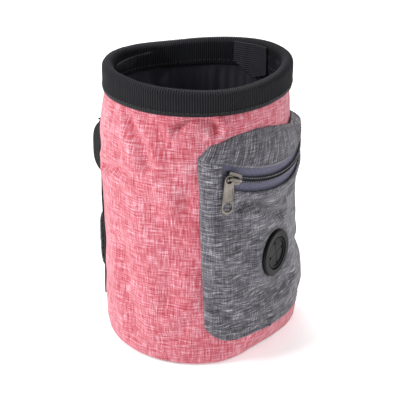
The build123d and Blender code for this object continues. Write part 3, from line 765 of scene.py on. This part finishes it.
def pocket_floor(degrees):
    """Height of the pocket's lower edge."""
    away = np.abs(degrees)
    return 19.0 - 2.0 * np.exp(-(((away - 38) / 9) ** 2)) + 8.0 * np.clip((away - 44) / 13, 0, 1) ** 2


def seam_height(phi):
    """The seam between the pocket's two panels: over the zip, then level out to the sides."""
    beyond = np.clip(np.abs(phi) - WINDOW_AT, 0, 1)
    return zip_height(np.clip(phi, -WINDOW_AT, WINDOW_AT)) + SEAM_RISE + 1.6 * beyond / 0.2


def pocket_radius(phi, z):
    """From the tub's axis to the outside of the pocket."""
    degrees = np.degrees(phi)
    reach = np.minimum(pocket_side(z) - degrees, pocket_side(z) + degrees) * math.radians(1) * ARC
    low_edge = pocket_floor(degrees)
    from_bottom = z - low_edge
    from_top = pocket_top(degrees) - z
    body = tub_radius(phi, z)
    bulge = 3.4 * np.exp(-(((z - 33) / 14) ** 2)) * np.clip((40 - degrees) / 60, 0, 1)
    below_zip = np.clip((zip_height(phi) - 8 - z) / 16, 0, 1)
    flat = -3.0 * np.exp(-(((z - 92) / 36) ** 2)) * np.clip((14 - degrees) / 36, 0, 1) * below_zip
    depth = arc_radius(phi) + bulge + flat - body
    lean = np.clip(pocket_top(degrees) - seam_height(phi) - 0.5, 5, 22)
    eased = 1.7 - 0.6 * np.clip(-degrees / 25, 0, 1)
    shape = rise(reach, 11.5) * rise(from_bottom, 5.5, 2.6) * rise(from_top, lean, eased)
    lift = np.maximum(depth, 1.0) * shape + 0.9 - 0.5 * np.clip(-degrees / 25, 0, 1)
    lift = lift - 1.0 * np.exp(-(((z - zip_height(phi)) / 8.5) ** 4)) * shape
    s = phi * ARC
    relief = 0.35 * lattice(41, s / 13 + 40, z / 11 + 7) + 0.16 * lattice(42, s / 5 + 40, z / 5 + 3)
    for path, deep, width in POCKET_FOLDS:
        relief = relief + fold(s, z, path, deep, width)
    near_zip = np.abs(z - zip_height(phi))
    relief = relief * np.clip((near_zip - 7) / 9, 0, 1) * np.clip(shape * 1.6, 0, 1)
    radius = np.maximum(body + lift + relief, body + np.minimum(lift, 2.0))
    # a flat seat under the outlet
    x = -radius * np.sin(phi)
    from_outlet = np.hypot(x - OUTLET[0], z - OUTLET[2])
    seat = -(OUTLET[1] + 0.05) / np.cos(phi)
    share = 1 - np.clip((from_outlet - OUTLET_R - 0.4) / 9.0, 0, 1)
    share = share * share * (3 - 2 * share)
    radius = radius * (1 - share) + seat * share
    edge = np.minimum(np.minimum(reach, from_bottom * 1.2), from_top)
    groove = 0.3 * np.exp(-(((edge - 3.0) / 0.8) ** 2))
    hem = 0.6 * np.exp(-(((near_zip - 9.3) / 1.2) ** 2)) * (np.abs(x) < WINDOW_HALF_W + 1)
    return radius - groove + hem


def pocket_columns():
    """Angles across the pocket, with one exactly at each side of the zip's window."""
    wing = np.linspace(WINDOW_AT, np.radians(57.6), 14)
    return np.concatenate([-wing[::-1], np.linspace(-WINDOW_AT, WINDOW_AT, 90)[1:-1], wing])


def pocket_rows(columns, shares, low, high):
    """Angles and heights of rows from low to high. Beside the window they reach out to the pocket's sides."""
    z = low[:, None] + (high - low)[:, None] * shares[None, :]
    side = np.radians(pocket_side(z))
    at = columns[:, None]
    beyond = (np.abs(at) - WINDOW_AT) / (columns[-1] - WINDOW_AT)
    wing = np.sign(at) * (WINDOW_AT + (side - WINDOW_AT) * beyond)
    return np.where(np.abs(at) <= WINDOW_AT, at, wing), z


def make_pocket():
    # every piece of grey cloth has its UV moved to another part of the pattern
    columns = pocket_columns()
    degrees = np.degrees(columns)
    bottom = pocket_floor(degrees)
    zip_mid = zip_height(columns)
    below, above = zip_mid - SEAM_RISE, seam_height(columns)
    rows = np.concatenate([np.array([0, 0.004, 0.011, 0.02, 0.032, 0.046]), np.linspace(0.06, 1, 78)])
    phi_a, z_a = pocket_rows(columns, rows, bottom, below)
    phi_b, z_b = pocket_rows(columns, np.linspace(0, 1, 13)[1:], below, above)
    phi = np.concatenate([phi_a, phi_b], axis=1)
    z = np.concatenate([z_a, z_b], axis=1)
    keep = np.ones((len(columns) - 1, phi.shape[1] - 1), bool)
    within = np.abs(columns) <= WINDOW_AT + 1e-6
    inside = within[:-1] & within[1:]
    keep[inside, len(rows) - 1:] = False
    radius = pocket_radius(phi, z)
    radius[:, 0] = tub_radius(phi[:, 0], z[:, 0]) + 0.6
    uv = np.stack([phi * ARC * 1.1 + 400, z + 3.0 * np.sin(phi * 2.2)], axis=-1)
    lower = grid("pocket_front", plan(phi, radius, z), uv, keep=keep)
    thicken(lower, 0.9)
    finish_piece(lower, GREY, "pouch", ("pocket_panel",))

    top = pocket_top(degrees)
    phi_t, z_t = pocket_rows(columns, np.linspace(0, 1, 26), above + 0.15, np.maximum(top, above + 0.8))
    radius_t = pocket_radius(phi_t, z_t) + 0.25 * np.exp(-(((z_t - above[:, None] - 0.8) / 1.2) ** 2))
    uv = np.stack([z_t * 0.9 + 900, phi_t * ARC + 0.5 * z_t], axis=-1)
    upper = grid("pocket_top", plan(phi_t, radius_t, z_t), uv)
    thicken(upper, 0.9)
    finish_piece(upper, GREY, "pouch", ("pocket_top_panel",))


def make_pocket_stitches():
    """Topstitching just inside the edges, and over the zip."""
    rows = []
    levels = np.linspace(30, 128, 90)
    for sign in (1, -1):
        ang = sign * (np.radians(pocket_side(levels)) - 3.0 / ARC)
        ordered = slice(None) if sign > 0 else slice(None, None, -1)
        path = plan(ang, pocket_radius(ang, levels), levels)[ordered]
        rows.append((path, plan(ang, 1.0, 0 * levels)[ordered]))
    across = np.radians(np.linspace(-50, 52, 120))
    for level in (pocket_top(np.degrees(across)) - 2.6, pocket_floor(np.degrees(across)) + 3.4):
        path = plan(across, pocket_radius(across, level), level)
        rows.append((path, plan(across, 1.0, 0.5 + 0 * across)))
    inside_columns = np.radians(np.linspace(-46.6, 46.6, 110))
    seam = zip_height(inside_columns) + 9.0
    rows.append((plan(inside_columns, pocket_radius(inside_columns, seam) + 0.2, seam),
                 plan(inside_columns, 1.0, 0 * inside_columns)))
    stitches = sew("pocket_stitches", rows, 2.2, 0.8, 0.2, 0.1)
    finish_piece(stitches, THREAD_GREY, "pouch")


# ---- the zip -----------------------------------------------------------------------------------
SLIDER_ANGLE = math.radians(30.2)
ZIP_R = 78.6
travel = next(j for j in frame["joints"] if j["name"] == "slider_travel")


def turned(point, angle):
    """point turned about the slider's axis."""
    axis = np.array(travel["axis"], dtype=float)
    axis /= np.linalg.norm(axis)
    at = np.array(travel["pos_m"]) / MM
    v = np.asarray(point) - at
    across = v * math.cos(angle) + np.cross(axis, v) * math.sin(angle)
    return at + across + axis * axis.dot(v) * (1 - math.cos(angle))


def zip_point(height, up):
    """A point of the chain at the slider's rest place, and the direction straight out of it."""
    a = SLIDER_ANGLE
    along = np.array([math.cos(a), -math.sin(a), -ZIP_RISE * math.sin(a)])
    along /= np.linalg.norm(along)
    out = np.array([-math.sin(a), -math.cos(a), 0.0])
    side = np.cross(out, along)
    level = ZIP_Z + ZIP_RISE * ZIP_R * (1 - math.cos(a))
    origin = np.array([-ZIP_R * math.sin(a), POCKET_Y - ZIP_R * math.cos(a), level])
    return origin + out * height + side * up, out


TAPE_REACH, TAPE_GAP = 8.2, 0.08
CHAIN_TURN = math.radians(72.3)  # the chain's turn about the slider's axis
CHAIN_SPARE = 0.075  # and what it has beyond the slider at either end, in radians
COIL_PITCH = 0.95
COIL_STEPS = 6  # rings for each turn of a coil
COIL_SIDES = 8


def make_zip():
    tape_half_width = 47.2
    half = math.asin(tape_half_width / (POCKET_R - 1.1))
    theta = np.linspace(-half, half, 120)[:, None]
    for name, near, far in (("upper", TAPE_GAP, TAPE_REACH), ("lower", -TAPE_REACH, -TAPE_GAP)):
        across = np.linspace(near, far, 14)[None, :]
        r = POCKET_R - 1.35 + 0.06 * np.cos(across * 5)
        x, y = -r * np.sin(theta), POCKET_Y - r * np.cos(theta)
        z = ZIP_Z + ZIP_RISE * (y - ZIP_FRONT) + across + 0 * x
        points = np.stack(np.broadcast_arrays(x, y, z), axis=-1)
        uv = np.stack(np.broadcast_arrays(theta * POCKET_R + across * 0.6, across), axis=-1)
        tape = grid(f"zip_tape_{name}", points, uv)
        thicken(tape, 0.45)
        finish_piece(tape, TAPE_CLOTH, "pouch", (f"zipper_tape_{name}",))
    chain_radius = 72.5
    count = int((CHAIN_TURN + 2 * CHAIN_SPARE) * chain_radius / COIL_PITCH * COIL_STEPS)
    angles = np.linspace(-CHAIN_SPARE, CHAIN_TURN + CHAIN_SPARE, count)
    for name, sign in (("upper", 1), ("lower", -1)):
        rings = []
        for n, angle in enumerate(angles):
            parted = np.clip((0.035 - angle) / 0.1, 0, 1) * 1.1
            tooth = 0.5 + 0.5 * math.cos(n / COIL_STEPS * math.tau)
            width, tall = 0.74 + 0.1 * tooth, 0.46 + 0.12 * tooth
            ring = []
            for k in range(COIL_SIDES):
                a = math.tau * (k + 0.5) / COIL_SIDES
                up = sign * (1.16 + parted) + width * math.cos(a)
                ring.append(turned(zip_point(0.95 + tall * math.sin(a), up)[0], angle))
            rings.append(ring)
        rings = np.array(rings)
        faces = []
        for n in range(count - 1):
            for k in range(COIL_SIDES):
                a, b = COIL_SIDES * n + k, COIL_SIDES * n + (k + 1) % COIL_SIDES
                faces.append([a, b, b + COIL_SIDES, a + COIL_SIDES])
        faces.append(list(range(COIL_SIDES - 1, -1, -1)))
        faces.append([COIL_SIDES * (count - 1) + k for k in range(COIL_SIDES)])
        coil = mesh_object(f"zip_coil_{name}", rings.reshape(-1, 3), faces)
        finish_piece(coil, COIL, "pouch", (f"zipper_coil_{name}",))
    rows = []
    for sign in (1, -1):
        steps = np.linspace(0.07, CHAIN_TURN + CHAIN_SPARE - 0.02, 200)
        path = [turned(zip_point(1.62, sign * 1.2)[0], a) for a in steps]
        out = zip_point(0, 0)[1]
        normals = [turned(out, a) - turned((0, 0, 0), a) for a in steps]
        rows.append((path, normals))
    thread = sew("zip_chain_thread", rows, 1.1, 0.75, 0.17, 0.0)
    finish_piece(thread, THREAD_PALE, "pouch")


# ---- the base and the back ---------------------------------------------------------------------
def make_base():
    phi = np.linspace(0, math.tau, 320, endpoint=False)[:, None]
    turns = phi / math.tau
    around = np.linspace(0, math.tau, 12, endpoint=False)[None, :]
    outline = tub_radius(phi, 3.0)
    tube = 0.8 + 0.05 * np.cos(phi * 160)
    z = 0.85 + tube * np.sin(around)
    radius = outline - 3.5 + tube * np.cos(around)
    points = plan(phi, radius, z)
    points = np.concatenate([points, points[:, :1]], axis=1)
    uv = np.stack(np.broadcast_arrays(phi * ARC, np.linspace(0, 5.4, 13)[None, :]), axis=-1)
    piping = grid("base_edge", points, uv, wrap=math.tau * ARC, outward=False)
    finish_piece(piping, BINDING, "pouch", ("base_piping",))
    rings = np.linspace(0.01, 1, 30)[None, :]
    rim = outline - 3.9
    height = 0.75 + 0.5 * rings**8 + 0.12 * lattice(51, turns * 16, rings * 7, 16) * (1 - rings**4)
    points = plan(phi, rings * rim, height)
    panel = grid("base_cloth", points, points[..., :2] + 700, wrap=CLOSED, outward=False)
    thicken(panel, 0.5, -1.0)
    finish_piece(panel, GREY, "pouch", ("base_panel",))


def make_back():
    half = math.radians(35)
    bottom, top = 19.5, 137.5
    phi = np.linspace(math.pi - half, math.pi + half, 120)[:, None]
    z = np.linspace(bottom, top, 150)[None, :]
    from_side = np.minimum(phi - math.pi + half, math.pi + half - phi) * ARC
    edge = np.minimum(from_side, np.minimum(z - bottom, top - z))
    hem = 0.25 * np.clip(1 - edge / 6, 0, 1) - 0.25 * np.exp(-(((edge - 4.5) / 0.7) ** 2))
    drape = 0.2 * lattice(61, phi * 9, z / 14)
    radius = tub_radius(phi, z) + cloth_relief(phi, z) + 1.15 + hem + drape * np.clip(edge / 6, 0, 1)
    uv = np.stack(np.broadcast_arrays(phi * ARC, z), axis=-1)
    patch = grid("back_patch_cloth", plan(phi, radius, z), uv)
    thicken(patch, 0.9)
    finish_piece(patch, BACK_CLOTH, "pouch", ("back_patch",))
    rows = []
    inset = 4.5
    for ang in (math.pi - half + inset / ARC, math.pi + half - inset / ARC):
        level = np.linspace(22, 135, 120)
        radius = tub_radius(ang, level) + cloth_relief(np.full_like(level, ang), level) + 1.2
        rows.append((plan(ang, radius, level), plan(ang, 1.0, 0 * level)))
    for level in (24.0, 133.0):
        ang = np.linspace(math.pi - half + 0.05, math.pi + half - 0.05, 90)
        radius = tub_radius(ang, level) + cloth_relief(ang, np.full_like(ang, level)) + 1.2
        rows.append((plan(ang, radius, level), plan(ang, 1.0, 0 * ang)))
    stitches = sew("back_stitches", rows, 2.3, 0.9, 0.22, 0.1)
    finish_piece(stitches, THREAD_BLACK, "pouch")


def make_sleeve():
    """The belt sleeve: a cloth strap, sewn down above and below."""
    shape = np.array([
        (63.1, 21.3), (63.3, 23.2), (63.9, 25.0), (66.4, 27.0), (69.0, 30.5), (69.9, 36), (70.1, 47.5),
        (69.9, 59), (69.0, 64.5), (66.4, 68.4), (63.6, 70.3), (62.9, 72), (62.7, 73.8)])
    tub_bend = 124  # twice the tub's radius
    t = np.linspace(0, len(shape) - 1, 80)
    ys, zs = np.interp(t, range(len(shape)), shape[:, 0]), np.interp(t, range(len(shape)), shape[:, 1])
    kernel = np.hanning(9) / np.hanning(9).sum()
    ys = np.convolve(np.pad(ys, 4, mode="edge"), kernel, "valid")
    x = np.linspace(-18, 18, 48)[:, None]
    sewn = np.clip(1 - (np.abs(zs - 47.5) - 19.5) / 4, 0, 1)[None, :]
    y = ys[None, :] - x**2 / tub_bend * (1 - 0.75 * sewn)
    y = y + 0.18 * lattice(63, x / 7 + 20, zs[None, :] / 8) * sewn
    points = np.stack(np.broadcast_arrays(x, y, zs[None, :]), axis=-1)
    uv = np.stack(np.broadcast_arrays(x + 1300, zs[None, :] * 1.1), axis=-1)
    sleeve = grid("belt_sleeve_cloth", points, uv, outward=True)
    thicken(sleeve, 1.0, 0.0)
    finish_piece(sleeve, GREY, "pouch", ("belt_sleeve",))
    rows = []
    for level in (23.4, 71.6):
        across = np.linspace(-16.8, 16.8, 40)
        base = np.interp(level, zs, ys)
        y = base - across**2 / tub_bend
        path = np.stack([across, y + 0.6, np.full_like(across, level)], axis=-1)
        rows.append((path, np.tile([0.0, 1.0, 0.0], (40, 1))))
    stitches = sew("sleeve_stitches", rows, 2.2, 0.8, 0.22, 0.1)
    finish_piece(stitches, THREAD_GREY, "pouch")


def dress(names, mat):
    """Gives CAD nodes their finish."""
    for name in names:
        obj = nodes[name]
        obj.data.materials.clear()
        obj.data.materials.append(mat)


make_shell()
make_lining()
make_rim()
make_rim_stitches()
make_hoop()
make_tail()
make_pocket()
make_pocket_stitches()
make_zip()
make_base()
make_back()
make_sleeve()
dress(("zipper_slider", "zipper_pull"), NICKEL)
dress(["outlet_ring"] + [f"outlet_petal_{k}" for k in (1, 2, 3, 4)], RUBBER)
dress(("belt_clip_base", "belt_clip_tongue"), CLIP)
dress(("clip_rivets",), STEEL)
dress(("base_board",), BOARD)

bpy.ops.mesh.primitive_plane_add(size=40, location=(0, 0, -0.0003))
ground = bpy.context.object
ground.name = "ground"
ground.data.materials.append(floor_material())
